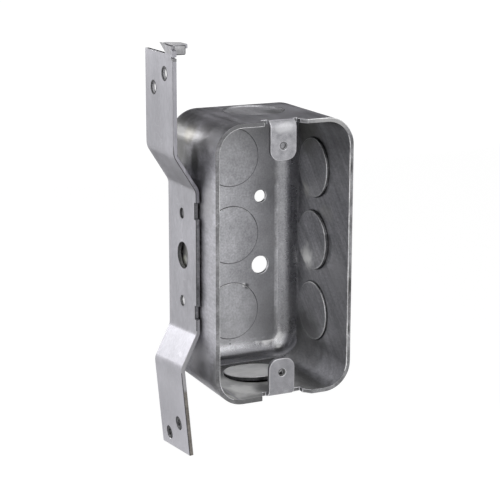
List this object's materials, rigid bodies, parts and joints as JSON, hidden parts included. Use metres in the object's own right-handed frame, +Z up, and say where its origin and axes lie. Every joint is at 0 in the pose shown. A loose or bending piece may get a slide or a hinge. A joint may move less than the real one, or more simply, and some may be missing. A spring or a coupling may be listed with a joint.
{
  "type": "utility box with stud bracket",
  "caption": "Drawn galvanised steel utility box, open at the front, with sheared knockouts, screw ears and a joggled stud bracket welded to one side.",
  "frame": {"origin": "midway between the two device screw holes, on the front faces of the ears", "axes": "+X to the right as seen from the front, +Y into the box, +Z up; the opening faces -Y and the bracket is on the -X side"},
  "size_m": [0.0643, 0.0476, 0.1525],
  "materials": {
    "box_steel": "galvanised drawn steel, satin, faintly streaked from drawing",
    "bracket_steel": "galvanised strip steel, satin, lighter than the box"
  },
  "bodies": {
    "root": {"box_shell": "box_steel", "stud_bracket": "bracket_steel"}
  },
  "joints": []
}
